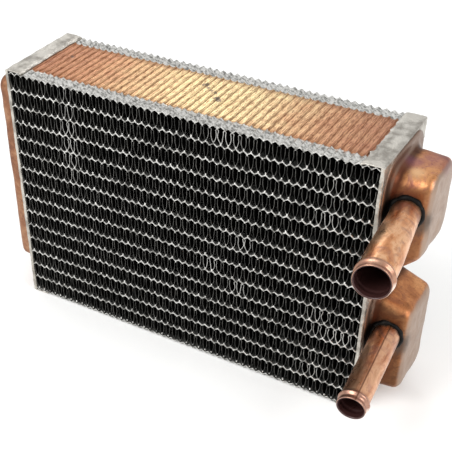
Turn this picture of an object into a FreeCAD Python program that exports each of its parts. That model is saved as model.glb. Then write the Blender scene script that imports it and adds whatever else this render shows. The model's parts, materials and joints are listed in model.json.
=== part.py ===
import FreeCAD, Part
import math
import os

# Heater core of a car, the small radiator behind the dashboard: a ribbon-cellular
# core of corrugated waterways and folded air fins, closed by a header pan at each
# end.  One long shallow tank on the left turns the water round, and two short tanks
# on the right each carry a beaded hose tube that points forward.
#
# Millimetres.  +X runs along the waterways, -Y is the front face that the hose
# tubes point out of, +Z is up.  The origin is the middle of the underside, level
# with the flat flanges of the two header pans.

os.makedirs("parts", exist_ok=True)

Vector = FreeCAD.Vector

# ---------------------------------------------------------------- overall sizes
core_width = 238.0          # over the outer faces of the two header pans
core_height = 164.8         # over the flanges of the header pans
core_depth = 62.7           # front face to back face, the way the air blows

# ---------------------------------------------------------------- header pans
header_thickness = 2.2      # end wall that the waterways are soldered to
flange_thickness = 0.6      # flanges folded over the top and the underside
flange_length = 12.0
header_slot_height = 0.8    # slot in the end wall behind each waterway
header_slot_margin = 1.0    # slot is narrower than the waterway's channel by this, each side

# ---------------------------------------------------------------- ribbons and fins
fin_rows = 15
teeth = 51                  # corrugations along one ribbon
wave_height = 1.5           # trough to peak of a corrugation
waterway_thickness = 1.1    # two soldered ribbons, measured straight up
channel_height = 0.6        # water space between the two ribbons
seam_width = 9.0            # soldered edge of a waterway, front and back
side_strip_thickness = 0.7
fin_thickness = 0.15
fin_bend_radius = 0.75      # middle of the sheet, at the top and bottom of each fold
solder_gap = 0.05           # film of solder between a fold and the ribbon it rests on

# ---------------------------------------------------------------- tanks
tank_wall = 0.9
tank_corner_radius = 6.0    # seen from the end
upper_tank_top_radius = 12.0    # the same, along the upper tank's rounder top
tank_edge_radius = 3.6      # drawn edge round the end face
foot_height = 3.5           # flared foot that is soldered to the header
foot_flare = 7.5            # how far the foot spreads beyond the wall
foot_flare_between = 4.0    # the same, where the two short tanks face each other
tank_face_margin = 9.85     # from the core's front face back to a tank's wall, at the header
tank_side_taper = 2.9       # how far the front and back walls lean in, foot to end

upper_foot_edge = 1.5       # from the upper tank's foot up to the header's top edge
lower_foot_margin = 5.31    # from the lowest header slot down to the lower tank's foot
tank_gap = 11.0             # between the walls of the two short tanks, at the header
tank_gap_rise = 1.35        # middle of that gap above the middle between two slots
upper_tank_slant = 20.0     # how far the upper tank's lower wall climbs, foot to end
lower_tank_slant = 6.5      # how far the lower tank's upper wall drops, foot to end

return_tank_length = 19.0
return_foot_margin_above = 6.01
return_foot_margin_below = 2.81

# ---------------------------------------------------------------- hose tubes
tube_wall = 0.8
tube_hole_clearance = 0.05  # radial, between a tube and the hole in its tank
tube_entry = 3.0            # length of tube inside the tank
tube_header_gap = 2.65      # from the header's outer face to the tube
tube_end_gap = 3.55         # from the tube to the tank's closed end
root_radius = 7.95          # both tubes leave their tanks at 15.9 mm outside

upper_tube_rise = 4.45      # above the middle of the upper tank's end
upper_tube_length = 65.7
upper_tube_lean = (0.109, -1.0, 0.007)
upper_tube_swell = 1.575    # the upper tube is swelled to 19.05 mm for its hose
upper_cone_start = 8.0
upper_cone_end = 42.0

lower_tube_rise = 12.35     # above the middle of the lower tank's end
lower_tube_length = 59.2
lower_tube_lean = (0.058, -1.0, -0.105)

bead_rise = 0.95            # rolled bead that keeps the hose on
bead_length = 3.6
bead_setback = 4.6          # from the mouth to the middle of the bead
mouth_lip = 0.3             # rounding of the mouth's outer edge

# ---------------------------------------------------------------- derived places
half_width = core_width / 2
half_depth = core_depth / 2
ribbon_left = -half_width + header_thickness
ribbon_length = core_width - 2 * header_thickness
tooth_pitch = ribbon_length / teeth
bottom_strip_mid = flange_thickness + (wave_height + side_strip_thickness) / 2
top_strip_mid = core_height - bottom_strip_mid
row_pitch = (top_strip_mid - bottom_strip_mid) / fin_rows
channel_half_depth = half_depth - seam_width


def waterway_mid(row):
    """Mid height of the waterway above fin row number row, counted from one."""
    return bottom_strip_mid + row * row_pitch


def slot_mid(row):
    """Mid height of the header slot behind a waterway, level with its troughs."""
    return waterway_mid(row) - wave_height / 2


lowest_slot_edge = slot_mid(1) - header_slot_height / 2
highest_slot_edge = slot_mid(fin_rows - 1) + header_slot_height / 2
middle_row = fin_rows // 2
tank_gap_mid = (slot_mid(middle_row) + slot_mid(middle_row + 1)) / 2 + tank_gap_rise

tank_half_depth_at_foot = half_depth - tank_face_margin
tank_half_depth_at_end = tank_half_depth_at_foot - tank_side_taper
short_tank_length = tube_header_gap + 2 * root_radius + tube_end_gap
upper_tank_top = core_height - upper_foot_edge - foot_flare
upper_tank_bottom_at_foot = tank_gap_mid + tank_gap / 2
upper_tank_bottom_at_end = upper_tank_bottom_at_foot + upper_tank_slant
lower_tank_bottom = lowest_slot_edge - lower_foot_margin + foot_flare
lower_tank_top_at_foot = tank_gap_mid - tank_gap / 2
lower_tank_top_at_end = lower_tank_top_at_foot - lower_tank_slant
return_tank_top = highest_slot_edge + return_foot_margin_above - foot_flare
return_tank_bottom = lowest_slot_edge - return_foot_margin_below + foot_flare

tube_offset = tube_header_gap + root_radius
upper_hose_radius = root_radius + upper_tube_swell
upper_tube_height = (upper_tank_bottom_at_end + upper_tank_top) / 2 + upper_tube_rise
lower_tube_height = (lower_tank_bottom + lower_tank_top_at_end) / 2 + lower_tube_rise


def export(shape, node):
    """Write one sub-part's STEP file, after a look at whether the solid is sound."""
    solids = shape.Solids
    good = shape.isValid() and len(solids) > 0
    print(f"{node:22s} solids {len(solids)}  volume {shape.Volume:10.1f}  valid {good}")
    shape.exportStep(f"parts/{node}.step")


def zigzag_edge(z_mid):
    """One edge of a corrugated ribbon, left to right, with a trough at both ends."""
    points = []
    for step in range(2 * teeth + 1):
        x = ribbon_left + step * tooth_pitch / 2
        side = 1 if step % 2 else -1
        points.append((x, z_mid + side * wave_height / 2))
    return points


def corrugated_band(z_mid, thickness, band_half_depth):
    """A corrugated sheet along X, as thick as thickness measured straight up."""
    lower = zigzag_edge(z_mid - thickness / 2)
    upper = zigzag_edge(z_mid + thickness / 2)
    outline = lower + upper[::-1] + lower[:1]
    wire = Part.makePolygon([Vector(x, -band_half_depth, z) for x, z in outline])
    return Part.Face(wire).extrude(Vector(0, 2 * band_half_depth, 0))


def waterway(z_mid):
    """Two ribbons soldered along their front and back edges, open at both ends."""
    ribbons = corrugated_band(z_mid, waterway_thickness, half_depth)
    channel = corrugated_band(z_mid, channel_height, channel_half_depth)
    return ribbons.cut(channel)


def side_strip(z_mid):
    """The single corrugated ribbon that closes the top or the underside."""
    return corrugated_band(z_mid, side_strip_thickness, half_depth)


def wall_normal(low, high):
    """Unit normal of the fin wall that leaves the low bend on the side of the high
    bend and crosses over to the high bend's near side."""
    run = high[0] - low[0]
    rise = high[1] - low[1]
    distance = math.hypot(run, rise)
    turn = math.acos(2 * fin_bend_radius / distance)
    side = 1 if run > 0 else -1
    angle = math.atan2(rise, run) - side * turn
    return math.cos(angle), math.sin(angle)


def fin_side(centres, low_radius, high_radius):
    """Edges of one side of the folded fin, left to right.  Bends alternate between
    high and low, and the first and the last are half bends against the headers."""
    radii = [high_radius if i % 2 == 0 else low_radius for i in range(len(centres))]
    apexes = []
    for i, (x, z) in enumerate(centres):
        side = 1 if i % 2 == 0 else -1
        apexes.append((x, z + side * radii[i]))
    leaves = []
    arrives = [None]
    for i in range(len(centres) - 1):
        low_index = i if i % 2 else i + 1
        high_index = i + 1 if i % 2 else i
        nx, nz = wall_normal(centres[low_index], centres[high_index])
        low = centres[low_index]
        high = centres[high_index]
        on_low = (low[0] + low_radius * nx, low[1] + low_radius * nz)
        on_high = (high[0] - high_radius * nx, high[1] - high_radius * nz)
        leaves.append(on_low if i % 2 else on_high)
        arrives.append(on_high if i % 2 else on_low)
    edges = []
    last = len(centres) - 1
    for i in range(last + 1):
        if i == 0:
            edges.append(bend_arc(centres[i], radii[i], apexes[i], leaves[i]))
        elif i == last:
            edges.append(bend_arc(centres[i], radii[i], arrives[i], apexes[i]))
        else:
            edges.append(arc_edge(arrives[i], apexes[i], leaves[i]))
        if i < last:
            edges.append(line_edge(leaves[i], arrives[i + 1]))
    return edges, apexes[0], apexes[last]


def front_point(point):
    return Vector(point[0], -half_depth, point[1])


def arc_edge(start, middle, end):
    return Part.Arc(front_point(start), front_point(middle), front_point(end)).toShape()


def line_edge(start, end):
    return Part.LineSegment(front_point(start), front_point(end)).toShape()


def bend_arc(centre, radius, start, end):
    """Part of a bend between two points on its circle, the short way round."""
    sum_x = start[0] + end[0] - 2 * centre[0]
    sum_z = start[1] + end[1] - 2 * centre[1]
    size = math.hypot(sum_x, sum_z)
    middle = (centre[0] + radius * sum_x / size, centre[1] + radius * sum_z / size)
    return arc_edge(start, middle, end)


def air_fin(row):
    """Folded copper fin of one row.  Its low bends rest on the peaks of the ribbon
    below and its high bends meet the troughs of the ribbon above."""
    below = side_strip_thickness if row == 1 else waterway_thickness
    above = side_strip_thickness if row == fin_rows else waterway_thickness
    reach = fin_bend_radius + fin_thickness / 2 + solder_gap
    low_z = waterway_mid(row - 1) + (wave_height + below) / 2 + reach
    high_z = waterway_mid(row) - (wave_height + above) / 2 - reach
    centres = []
    for step in range(2 * teeth + 1):
        x = ribbon_left + step * tooth_pitch / 2
        centres.append((x, low_z if step % 2 else high_z))
    thick = fin_bend_radius + fin_thickness / 2
    thin = fin_bend_radius - fin_thickness / 2
    lower_side, lower_start, lower_end = fin_side(centres, thick, thin)
    upper_side, upper_start, upper_end = fin_side(centres, thin, thick)
    ends = [line_edge(lower_end, upper_end), line_edge(upper_start, lower_start)]
    edges = Part.sortEdges(lower_side + upper_side + ends)[0]
    return Part.Face(Part.Wire(edges)).extrude(Vector(0, core_depth, 0))


def box(x_range, y_range, z_range):
    size = [high - low for low, high in (x_range, y_range, z_range)]
    corner = Vector(x_range[0], y_range[0], z_range[0])
    return Part.makeBox(size[0], size[1], size[2], corner)


def header_pan(side):
    """End wall with a flange folded over the top and the underside.  side is 1 for
    the right end and -1 for the left end."""
    inner = half_width - header_thickness
    wall = box((inner, half_width), (-half_depth, half_depth), (0, core_height))
    flange_x = (half_width - flange_length, inner)
    depth = (-half_depth, half_depth)
    low = box(flange_x, depth, (0, flange_thickness))
    high = box(flange_x, depth, (core_height - flange_thickness, core_height))
    pan = wall.fuse([low, high]).removeSplitter()
    slot_half_depth = channel_half_depth - header_slot_margin
    slots = []
    for row in range(1, fin_rows):
        middle = slot_mid(row)
        z_range = (middle - header_slot_height / 2, middle + header_slot_height / 2)
        slots.append(box((inner, half_width), (-slot_half_depth, slot_half_depth), z_range))
    pan = pan.cut(slots)
    if side < 0:
        pan = pan.mirror(Vector(0, 0, 0), Vector(1, 0, 0))
    return pan


def section_wire(x, section):
    """Rounded rectangle in a plane of constant x.  section is half depth, bottom,
    top, and the radius of the two bottom and of the two top corners."""
    half, bottom, top, low_radius, high_radius = section
    edges = []
    corners = [(-half, bottom, 1, 1), (half, bottom, -1, 1), (half, top, -1, -1), (-half, top, 1, -1)]
    arcs = []
    for y, z, in_y, in_z in corners:
        radius = low_radius if in_z > 0 else high_radius
        diagonal = radius * (1 - math.sqrt(0.5))
        along = Vector(x, y + in_y * radius, z)
        upright = Vector(x, y, z + in_z * radius)
        middle = Vector(x, y + in_y * diagonal, z + in_z * diagonal)
        first, second = (upright, along) if in_y * in_z > 0 else (along, upright)
        arcs.append((first, middle, second))
    for i, (first, middle, second) in enumerate(arcs):
        edges.append(Part.Arc(first, middle, second).toShape())
        following = arcs[(i + 1) % 4][0]
        edges.append(Part.LineSegment(second, following).toShape())
    return Part.Wire(edges)


def inset(section, amount):
    half, bottom, top, low_radius, high_radius = section
    return half - amount, bottom + amount, top - amount, low_radius - amount, high_radius - amount


def between(start, end, share):
    return tuple(a + share * (b - a) for a, b in zip(start, end))


def rounded_shell(x_foot, x_neck, x_end, foot, neck, end, edge_radius):
    """Flared foot, tapering wall and a closed end whose edge is rounded over."""
    flare = Part.makeLoft([section_wire(x_foot, foot), section_wire(x_neck, neck)], True, True)
    body = Part.makeLoft([section_wire(x_neck, neck), section_wire(x_end, end)], True, True)
    rim = [e for e in body.Edges if all(abs(v.X - x_end) < 1e-6 for v in e.Vertexes)]
    body = body.makeFillet(edge_radius, rim)
    return flare.fuse(body)


def tank(length, base, end, flare_below, flare_above):
    """Drawn tank that stands out along +X from the right header.  base is the wall's
    section carried down to the header, end is its section at the closed end."""
    x_foot = half_width
    x_neck = half_width + foot_height
    x_end = half_width + length
    neck = between(base, end, foot_height / length)
    half, bottom, top, low_radius, high_radius = base
    spread = foot_flare_between
    foot = (half + foot_flare, bottom - flare_below, top + flare_above, low_radius + spread, high_radius + spread)
    outside = rounded_shell(x_foot, x_neck, x_end, foot, neck, end, tank_edge_radius)
    end_inside = between(base, end, (length - tank_wall) / length)
    inside = rounded_shell(
        x_foot,
        x_neck,
        x_end - tank_wall,
        inset(foot, tank_wall),
        inset(neck, tank_wall),
        inset(end_inside, tank_wall),
        tank_edge_radius - tank_wall,
    )
    return outside.cut(inside)


def upper_tank():
    radii = (tank_corner_radius, upper_tank_top_radius)
    base = (tank_half_depth_at_foot, upper_tank_bottom_at_foot, upper_tank_top) + radii
    end = (tank_half_depth_at_end, upper_tank_bottom_at_end, upper_tank_top) + radii
    shell = tank(short_tank_length, base, end, foot_flare_between, foot_flare)
    return shell.cut(tube_hole(upper_tube_height, upper_tube_lean))


def lower_tank():
    radii = (tank_corner_radius, tank_corner_radius)
    base = (tank_half_depth_at_foot, lower_tank_bottom, lower_tank_top_at_foot) + radii
    end = (tank_half_depth_at_end, lower_tank_bottom, lower_tank_top_at_end) + radii
    shell = tank(short_tank_length, base, end, foot_flare, foot_flare_between)
    return shell.cut(tube_hole(lower_tube_height, lower_tube_lean))


def return_tank():
    radii = (tank_corner_radius, tank_corner_radius)
    base = (tank_half_depth_at_foot, return_tank_bottom, return_tank_top) + radii
    end = (tank_half_depth_at_end, return_tank_bottom, return_tank_top) + radii
    shell = tank(return_tank_length, base, end, foot_flare, foot_flare)
    return shell.mirror(Vector(0, 0, 0), Vector(1, 0, 0))


def tube_root(height):
    """Where a hose tube's axis passes through the front wall of its tank."""
    wall = tank_half_depth_at_foot - tank_side_taper * tube_offset / short_tank_length
    return Vector(half_width + tube_offset, -wall, height)


def tube_hole(height, lean):
    """Round hole for a hose tube, through the front wall only."""
    direction = Vector(*lean).normalize()
    start = tube_root(height) - direction * tube_entry * 2
    return Part.makeCylinder(root_radius + tube_hole_clearance, tube_entry * 5, start, direction)


def hose_tube(height, lean, length, outline):
    """Tube turned about its own axis and set in its tank.  outline is the outside as
    points (distance along the axis, radius), from the inner end to the mouth."""
    bead_start = length - bead_setback - bead_length / 2
    bead_end = bead_start + bead_length
    hose_radius = outline[-1][1]
    bore = [(s, r - tube_wall) for s, r in outline]
    points = [Vector(r, 0, s) for s, r in outline[:-1]]
    edges = [Part.LineSegment(a, b).toShape() for a, b in zip(points, points[1:])]
    bead_from = Vector(hose_radius, 0, bead_start)
    bead_top = Vector(hose_radius + bead_rise, 0, (bead_start + bead_end) / 2)
    bead_to = Vector(hose_radius, 0, bead_end)
    lip_from = Vector(hose_radius, 0, length - mouth_lip)
    lip_to = Vector(hose_radius - mouth_lip, 0, length)
    edges.append(Part.LineSegment(points[-1], bead_from).toShape())
    edges.append(Part.Arc(bead_from, bead_top, bead_to).toShape())
    edges.append(Part.LineSegment(bead_to, lip_from).toShape())
    edges.append(Part.LineSegment(lip_from, lip_to).toShape())
    inner = [lip_to] + [Vector(r, 0, s) for s, r in bore[::-1]] + [points[0]]
    edges += [Part.LineSegment(a, b).toShape() for a, b in zip(inner, inner[1:])]
    profile = Part.Face(Part.Wire(edges))
    tube = profile.revolve(Vector(0, 0, 0), Vector(0, 0, 1), 360)
    direction = Vector(*lean).normalize()
    turn = FreeCAD.Rotation(Vector(0, 0, 1), direction)
    tube.Placement = FreeCAD.Placement(tube_root(height), turn)
    return tube


def upper_hose_tube():
    """Tube that is swelled from its root to a wider end for the hose."""
    outline = [
        (-tube_entry, root_radius),
        (upper_cone_start, root_radius),
        (upper_cone_end, upper_hose_radius),
        (upper_tube_length, upper_hose_radius),
    ]
    return hose_tube(upper_tube_height, upper_tube_lean, upper_tube_length, outline)


def lower_hose_tube():
    """Plain tube with one bead."""
    outline = [(-tube_entry, root_radius), (lower_tube_length, root_radius)]
    return hose_tube(lower_tube_height, lower_tube_lean, lower_tube_length, outline)


export(side_strip(bottom_strip_mid), "bottom_side_strip")
export(side_strip(top_strip_mid), "top_side_strip")
for row in range(1, fin_rows):
    export(waterway(waterway_mid(row)), f"waterway_{row:02d}")
for row in range(1, fin_rows + 1):
    export(air_fin(row), f"air_fin_{row:02d}")
export(header_pan(-1), "left_header")
export(header_pan(1), "right_header")
export(return_tank(), "return_tank")
export(upper_tank(), "upper_tank")
export(lower_tank(), "lower_tank")
export(upper_hose_tube(), "upper_hose_tube")
export(lower_hose_tube(), "lower_hose_tube")
for name, height, lean, length in (
    ("upper", upper_tube_height, upper_tube_lean, upper_tube_length),
    ("lower", lower_tube_height, lower_tube_lean, lower_tube_length),
):
    direction = Vector(*lean).normalize()
    mouth = tube_root(height) + direction * length
    print(name, "mouth", mouth, "direction", direction)
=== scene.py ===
# %% [markdown]
# # A car's heater core
#
# This lesson builds the looks of a small copper and brass radiator, the one that
# warms a car's cabin.  Its measured model, made in a CAD program, is loaded first as
# a fixed frame: it says where every part is.  Each visible part is then made again
# as a finer surface in the same place, because sheet metal that was folded, dipped
# in solder and heated by hand is never as straight as its drawing.

# %% Load the frame
import json
import math

import bmesh
import bpy
import mathutils
import numpy as np
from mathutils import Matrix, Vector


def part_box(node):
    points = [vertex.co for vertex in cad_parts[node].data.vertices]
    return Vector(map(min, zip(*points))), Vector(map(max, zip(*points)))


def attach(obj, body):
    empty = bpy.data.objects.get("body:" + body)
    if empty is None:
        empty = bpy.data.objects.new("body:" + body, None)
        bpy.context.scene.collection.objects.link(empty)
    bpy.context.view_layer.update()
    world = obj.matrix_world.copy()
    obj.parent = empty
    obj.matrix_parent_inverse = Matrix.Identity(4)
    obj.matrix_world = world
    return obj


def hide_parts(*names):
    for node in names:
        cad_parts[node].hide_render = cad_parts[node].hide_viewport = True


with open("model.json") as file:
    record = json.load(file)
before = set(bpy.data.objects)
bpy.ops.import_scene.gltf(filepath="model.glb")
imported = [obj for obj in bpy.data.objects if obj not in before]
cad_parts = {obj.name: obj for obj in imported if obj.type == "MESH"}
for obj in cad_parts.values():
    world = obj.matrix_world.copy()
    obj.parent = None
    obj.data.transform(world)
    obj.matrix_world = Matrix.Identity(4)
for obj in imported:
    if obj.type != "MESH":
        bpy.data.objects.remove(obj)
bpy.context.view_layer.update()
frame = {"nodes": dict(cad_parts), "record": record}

MM = 0.001  # one millimetre in metres
CHART = "piece_chart"  # name of the UV map that tells a material where it is
print("nodes in the frame:", len(frame["nodes"]))

# %% [markdown]
# ## Sizes
#
# Every size below is read from the frame or is a size of the real sheet metal.  The
# shapes are worked out in millimetres, which are easy to picture, and turned into
# Blender's metres in one place, where a mesh is made.

# %% Read the sizes of the core
right_low, right_high = np.array(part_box("right_header")) / MM
half_width = right_high[0]
half_depth = right_high[1]
core_height = right_high[2]
ribbon_low, ribbon_high = np.array(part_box("waterway_01")) / MM
ribbon_left = ribbon_low[0]
ribbon_length = ribbon_high[0] - ribbon_low[0]
teeth = 51
tooth_pitch = ribbon_length / teeth
wave_height = 1.5
fin_rows = 15


def middle_height(node):
    """Height of the middle of a node's box, in millimetres."""
    low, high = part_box(node)
    return (low[2] + high[2]) / 2 / MM


waterway_heights = [middle_height(f"waterway_{row:02d}") for row in range(1, fin_rows)]
bottom_strip_height = middle_height("bottom_side_strip")
top_strip_height = middle_height("top_side_strip")
ribbon_heights = [bottom_strip_height] + waterway_heights + [top_strip_height]
print(f"core {2 * half_width:.1f} x {2 * half_depth:.1f} x {core_height:.1f} mm")
print(f"pitch {tooth_pitch:.2f} mm")

# %% [markdown]
# ## Helpers for surfaces
#
# Every new piece is a grid of points worked out with numpy, so that a whole surface
# is one formula.  A grid can be open like a sheet, or closed round one way like a
# hose.  Blender needs the points, the faces and, for some patterns, a UV map.

# %% Make a mesh from one or more grids of points


def grid_faces(rows, columns, closed):
    """Four corner numbers for each cell of a grid.  A closed grid joins its last
    column to its first."""
    row, column = np.meshgrid(np.arange(rows - 1), np.arange(columns if closed else columns - 1),
        indexing="ij")
    following = (column + 1) % columns
    corners = [row * columns + column, row * columns + following]
    corners += [(row + 1) * columns + following, (row + 1) * columns + column]
    return np.stack(corners, axis=-1).reshape(-1, 4)


def make_piece(name, points, faces, material, uv=None, sharp=40.0):
    """An object from points in millimetres and a list of faces, in the root body.
    A grid of points is taken row by row, and so is its UV map.  Normals are turned
    outwards, and edges that turn by more than sharp degrees stay crisp."""
    mesh = bpy.data.meshes.new(name)
    places = np.asarray(points).reshape(-1, 3) * MM
    mesh.from_pydata(places.tolist(), [], [list(face) for face in faces])
    shape = bmesh.new()
    shape.from_mesh(mesh)
    bmesh.ops.recalc_face_normals(shape, faces=shape.faces)
    shape.to_mesh(mesh)
    shape.free()
    mesh.shade_smooth()
    mesh.set_sharp_from_angle(angle=math.radians(sharp))
    if uv is not None:
        corners = np.empty(len(mesh.loops), dtype=np.int64)
        mesh.loops.foreach_get("vertex_index", corners)
        layer = mesh.uv_layers.new(name=CHART)
        layer.data.foreach_set("uv", np.asarray(uv).reshape(-1,
            2)[corners].astype(np.float32).ravel())
    mesh.materials.append(material)
    piece = bpy.data.objects.new(name, mesh)
    bpy.context.scene.collection.objects.link(piece)
    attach(piece, "root")
    return piece


def hose_faces(rows, columns):
    """Faces of a grid that is closed round its columns, with a flat cap on each end."""
    faces = grid_faces(rows, columns, True).tolist()
    faces.append(list(range(columns)))
    faces.append(list(range((rows - 1) * columns, rows * columns)))
    return faces


# %% [markdown]
# Hand work shows as small, smooth unevenness.  A mean of sine waves that run in
# random directions gives exactly that, and its wavelength is a size in millimetres,
# so a ripple in the metal has a real scale.  The seed keeps it the same each time.

# %% Smooth unevenness


def ripple(points, size, seed):
    """Smooth random height of about -1 to 1 at each point: twenty sine waves about
    size millimetres long, added and evened out."""
    random = np.random.default_rng(seed)
    direction = random.normal(size=(20, 3))
    direction /= np.linalg.norm(direction, axis=1, keepdims=True)
    wave = direction * 2 * np.pi / (size * random.uniform(0.7, 1.6, size=(20, 1)))
    phase = random.uniform(0, 2 * np.pi, 20)
    return np.sin(np.asarray(points) @ wave.T + phase).sum(axis=-1) / math.sqrt(20)


def grid_normals(points):
    """Unit normal at each point of a grid that is closed round its columns: the
    cross product of the directions along and round."""
    along = np.gradient(points, axis=0)
    around = np.roll(points, -1, axis=1) - np.roll(points, 1, axis=1)
    normal = np.cross(along, around)
    return normal / np.maximum(np.linalg.norm(normal, axis=-1, keepdims=True), 1e-9)


# %% [markdown]
# ## Helpers for materials
#
# Colours are written as the hex values that a colour picker shows.  Blender works in
# linear light, so one function converts them.  One more adds a node, sets what it is
# told to and links what it is given.  Marks on a metal are colours laid over one
# another, and every material ends in the same few nodes.

# %% Colour and node helpers


def linear(hex_colour):
    """sRGB hex to linear RGBA: the low end is a straight line, the rest a power."""
    parts = [int(hex_colour[i:i + 2], 16) / 255 for i in (1, 3, 5)]
    return tuple(c / 12.92 if c <= 0.04045 else ((c + 0.055) / 1.055) ** 2.4
        for c in parts) + (1.0,)


def add_node(tree, kind, inputs=None, **settings):
    """Adds a shader node.  settings are its properties.  inputs maps a socket's name
    or number to a value, to another node's output socket or to a node, which stands
    for its first output in use."""
    node = tree.nodes.new("ShaderNode" + kind)
    for name, value in settings.items():
        setattr(node, name, value)
    for key, value in (inputs or {}).items():
        if isinstance(value, bpy.types.Node):
            value = next(output for output in value.outputs if output.enabled)
        if isinstance(value, bpy.types.NodeSocket):
            tree.links.new(value, node.inputs[key])
        else:
            node.inputs[key].default_value = value
    return node


def lay_over(tree, colour, layers):
    """Lays colours over one another like glazes.  Each layer is (share, colour): the
    result is the colour below times one less the share, plus the new colour times
    the share."""
    for share, glaze in layers:
        glaze = linear(glaze) if isinstance(glaze, str) else glaze
        colour = add_node(tree, "Mix", {"Factor": share, "A": colour, "B": glaze}, data_type="RGBA")
    return colour


def new_material(name):
    """An empty node material and its tree."""
    material = bpy.data.materials.new(name)
    material.use_nodes = True
    material.node_tree.nodes.clear()
    return material, material.node_tree


def set_ramp(node, stops):
    """Colour stops of a Color Ramp as (position, hex)."""
    ramp = node.color_ramp
    while len(ramp.elements) < len(stops):
        ramp.elements.new(0.5)
    for element, (position, colour) in zip(ramp.elements, stops):
        element.position = position
        element.color = linear(colour)


def close_material(tree, inputs, height=None, strength=0.0, depth=0.0):
    """Joins a Principled shader with these inputs to the material's output.  If
    height is given, it raises and dents the surface by up to depth metres."""
    if height is not None:
        normal = add_node(tree, "Bump", {"Height": height, "Strength": strength, "Distance": depth})
        inputs = inputs | {"Normal": normal}
    shader = add_node(tree, "BsdfPrincipled", inputs)
    add_node(tree, "OutputMaterial", {"Surface": shader})


# %% [markdown]
# ## Solder-coated brass
#
# The finished core is dipped in molten tin-lead solder, front and back, which coats
# the edges of every ribbon.  It sets as a dull silver grey skin with small lumps, a
# few tenths of a millimetre high, so the eye sees a broken, satin shine.  A metal
# with a middling roughness and a lumpy bump gives that.

# %% Material: dip-coated solder


def solder_material(name, light, dark, cloud_mm, lump_mm, lump_depth_mm):
    """Dull solder whose grey wanders between two hex colours over cloud_mm."""
    material, tree = new_material(name)
    place = add_node(tree, "TexCoord").outputs["Object"]
    cloud = add_node(tree, "TexNoise", {"Vector": place, "Scale": 1 / (cloud_mm * MM),
        "Detail": 4.0})
    lump = add_node(tree, "TexNoise", {"Vector": place, "Scale": 1 / (lump_mm * MM), "Detail": 3.0})
    colour = add_node(tree, "ValToRGB", {"Fac": cloud})
    set_ramp(colour, [(0.38, dark), (0.58, light)])
    rough = add_node(tree, "MapRange", {"Value": lump, "From Min": 0.3, "From Max": 0.7,
        "To Min": 0.34, "To Max": 0.58})
    close_material(tree, {"Base Color": colour, "Metallic": 1.0, "Roughness": rough}, lump, 0.7,
        lump_depth_mm * MM)
    return material


ribbon_solder = solder_material("dip_coated_solder", "#D2D1CD", "#7E7D79", 2.0, 0.9, 0.3)
header_solder = solder_material("wiped_solder_on_brass", "#C6C2BA", "#98938B", 7.0, 1.1, 0.3)
dot_solder = solder_material("solder_beads", "#EDECE8", "#B5B4B0", 3.0, 0.8, 0.1)
print("solder materials made")

# %% [markdown]
# ## Fin copper
#
# The air fins are copper foil, coloured near black away from the faces, so the
# inside of the core is a dark grid.  Only the front and back edges of the foil
# picked up solder, and more of it where the foil was pushed about.  The distance from
# the core's middle plane tells edge and inside apart.

# %% Material: near-black copper foil


def fin_material():
    """Near-black copper inside and solder grey on the last half millimetre at each
    face.  Where the foil was disturbed, which its UV map says, more solder shows."""
    material, tree = new_material("near_black_copper_foil")
    place = add_node(tree, "TexCoord").outputs["Object"]
    depth = add_node(tree, "SeparateXYZ", {"Vector": place}).outputs["Y"]
    distance = add_node(tree, "Math", {0: depth}, operation="ABSOLUTE")
    cloud = add_node(tree, "TexNoise", {"Vector": place, "Scale": 1 / (6 * MM), "Detail": 3.0})
    edge = add_node(tree, "MapRange", {"Value": distance, "From Min": (half_depth - 0.9) * MM,
        "From Max": (half_depth - 0.5) * MM})
    # the near-black colour of the foil away from the faces
    inner_dark = add_node(tree, "ValToRGB", {"Fac": cloud})
    set_ramp(inner_dark, [(0.3, "#201E1D"), (0.75, "#302C29")])
    patchy = add_node(tree, "ValToRGB", {"Fac": cloud})
    set_ramp(patchy, [(0.4, "#4C4C4A"), (0.66, "#878682")])
    chart = add_node(tree, "UVMap", uv_map=CHART)
    spread = add_node(tree, "SeparateXYZ", {"Vector": chart}).outputs["X"]
    broken = add_node(tree, "TexNoise", {"Vector": place, "Scale": 1 / (4 * MM), "Detail": 3.0})
    thick = add_node(tree, "Math", {0: spread, 1: broken}, operation="MULTIPLY")
    tinned = add_node(tree, "MapRange", {"Value": thick, "From Min": 0.15, "From Max": 0.5,
        "To Max": 0.8})
    coated = lay_over(tree, patchy, [(tinned, "#D6D5D1")])
    colour = lay_over(tree, inner_dark, [(edge, coated)])
    close_material(tree, {"Base Color": colour, "Metallic": 0.9, "Roughness": 0.5})
    return material


fin_copper = fin_material()
print("fin material made")

# %% [markdown]
# ## Bare and heat-tinted copper
#
# The tanks and tubes are drawn copper.  Brazing heat left orange, brown and purple
# tints on them, which are thin oxide films, and handling left fine freckles.  The
# colour is a ramp over soft noise.  A second noise gives the tint and the roughness,
# and a fine third one gives the freckles and the bump.

# %% Material: heat-tinted copper


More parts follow.
